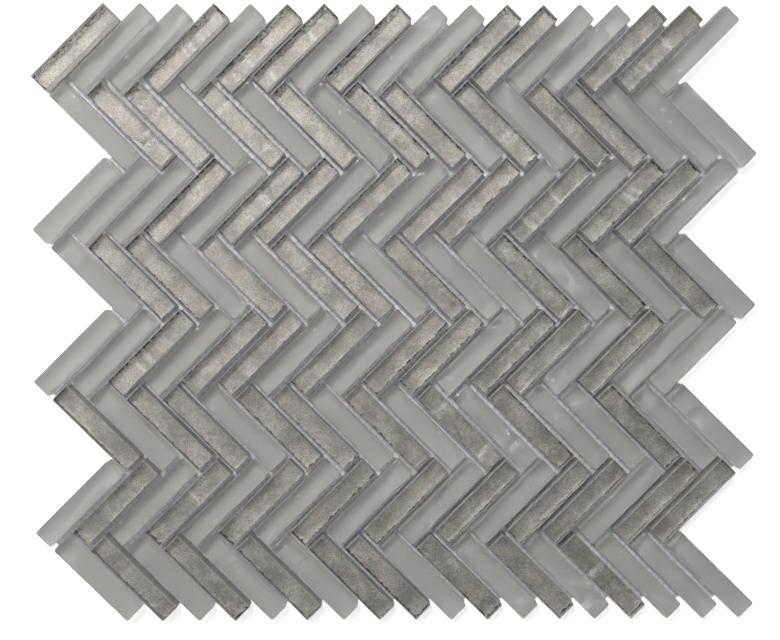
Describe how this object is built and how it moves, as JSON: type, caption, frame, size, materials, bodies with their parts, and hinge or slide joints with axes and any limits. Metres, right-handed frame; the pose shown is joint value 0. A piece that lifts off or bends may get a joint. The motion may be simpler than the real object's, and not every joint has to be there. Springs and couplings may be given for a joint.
{
  "type": "herringbone glass mosaic tile sheet",
  "caption": "Flat mosaic sheet of frosted and foil-backed clear glass strips laid in a herringbone on a mesh backing, for bedding in adhesive on a wall.",
  "frame": {"origin": "middle of the backing's underside", "axes": "+X along the rows of strips, +Y up the sheet across the rows, +Z out of the visible glass face"},
  "size_m": [0.3376, 0.2883, 0.0085],
  "materials": {
    "frosted_glass": "acid-etched satin glass with a grey painted back",
    "clear_glass": "clear polished glass",
    "silver_foil": "crinkled champagne-silver leaf, lacquered",
    "backing_mesh": "coated glass-fibre scrim"
  },
  "bodies": {
    "root": {"mesh_backing": "backing_mesh", "row_1_frosted_chips": "frosted_glass", "row_2_frosted_chips": "frosted_glass", "row_3_frosted_chips": "frosted_glass", "row_4_frosted_chips": "frosted_glass", "row_5_frosted_chips": "frosted_glass", "row_6_frosted_chips": "frosted_glass", "row_7_frosted_chips": "frosted_glass", "row_8_frosted_chips": "frosted_glass", "row_1_clear_chips": "clear_glass", "row_2_clear_chips": "clear_glass", "row_3_clear_chips": "clear_glass", "row_4_clear_chips": "clear_glass", "row_5_clear_chips": "clear_glass", "row_6_clear_chips": "clear_glass", "row_7_clear_chips": "clear_glass", "row_8_clear_chips": "clear_glass", "row_1_silver_foil": "silver_foil", "row_2_silver_foil": "silver_foil", "row_3_silver_foil": "silver_foil", "row_4_silver_foil": "silver_foil", "row_5_silver_foil": "silver_foil", "row_6_silver_foil": "silver_foil", "row_7_silver_foil": "silver_foil", "row_8_silver_foil": "silver_foil"}
  },
  "joints": []
}
